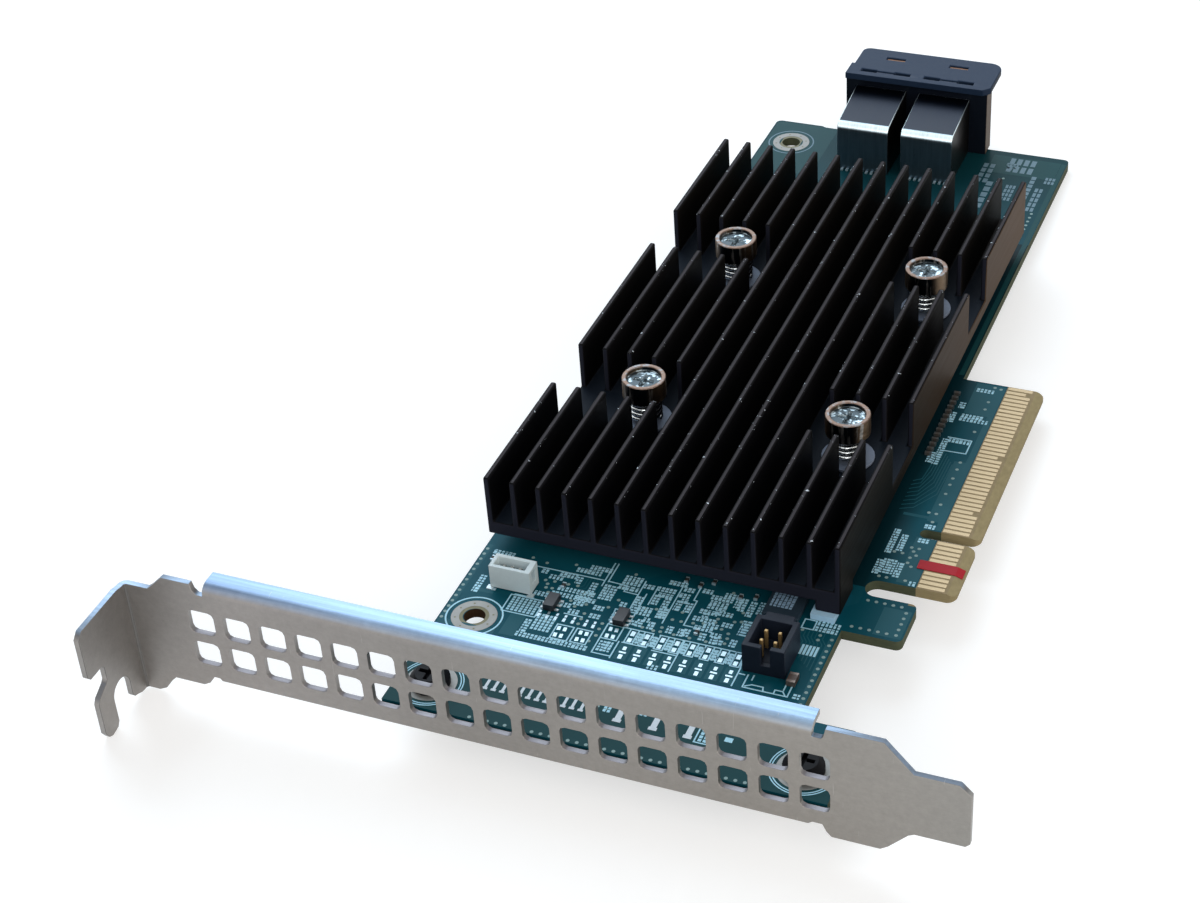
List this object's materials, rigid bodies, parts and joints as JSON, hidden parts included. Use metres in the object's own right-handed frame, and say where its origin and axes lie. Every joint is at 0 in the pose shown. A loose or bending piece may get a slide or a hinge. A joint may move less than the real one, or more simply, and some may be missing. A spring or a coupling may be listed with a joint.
{
  "type": "raid controller card",
  "caption": "Low-profile storage controller board with a finned black heatsink, a tall vented bracket, gold edge contacts and a two-port cable connector.",
  "frame": {"origin": "middle of the key slot at the contact edge, level with the board's component side", "axes": "+X from the bracket's screw tab towards the contact edge, +Y along the board away from the bracket, +Z out of the component side"},
  "size_m": [0.12, 0.1871, 0.0224],
  "materials": {
    "board": "glass-fibre laminate with teal-green solder resist",
    "gold": "thin gold plating",
    "red_tape": "thin red film tape",
    "bracket_steel": "plated sheet steel, satin",
    "black_screw": "black oxide",
    "heatsink_black": "black anodised aluminium",
    "soft_pad": "soft gap pad",
    "nickel": "nickel plated steel",
    "spring_steel": "drawn spring wire",
    "white_nylon": "natural nylon",
    "brass_nut": "tinned brass",
    "package_green": "package laminate",
    "lid_metal": "nickel plated copper lid",
    "chip_black": "moulded epoxy",
    "inductor_grey": "pressed ferrite",
    "ceramic_tan": "multilayer ceramic",
    "passive_dark": "film on ceramic",
    "port_black": "glass-filled plastic",
    "cover_steel": "bright plated sheet",
    "tin": "tinned",
    "socket_white": "moulded nylon"
  },
  "bodies": {
    "root": {"circuit_board": "board", "edge_contacts_upper": "gold", "edge_contacts_lower": "gold", "contact_tape": "red_tape", "bracket": "bracket_steel", "bracket_screws": "black_screw", "heatsink": "heatsink_black", "foot_pad": "soft_pad", "heatsink_screws": "nickel", "spring_washers": "white_nylon", "heatsink_springs": "spring_steel", "board_nuts": "brass_nut", "controller_package": "package_green", "controller_lid": "lid_metal", "thermal_pad": "soft_pad", "memory_chips_upper": "chip_black", "memory_chips_lower": "chip_black", "firmware_chip": "chip_black", "clock_chip": "chip_black", "regulator_inductors": "inductor_grey", "regulator_switches": "chip_black", "logic_chips": "chip_black", "coupling_capacitors": "ceramic_tan", "filter_capacitor": "ceramic_tan", "small_passives": "passive_dark", "decoupling_capacitors": "ceramic_tan", "port_housing": "port_black", "port_cover_left": "cover_steel", "port_cover_right": "cover_steel", "contact_block_left": "port_black", "contact_block_right": "port_black", "port_contacts": "gold", "port_tails": "tin", "sensor_socket": "socket_white", "sensor_socket_pins": "tin", "header_shroud": "port_black", "header_pins": "gold"}
  },
  "joints": []
}
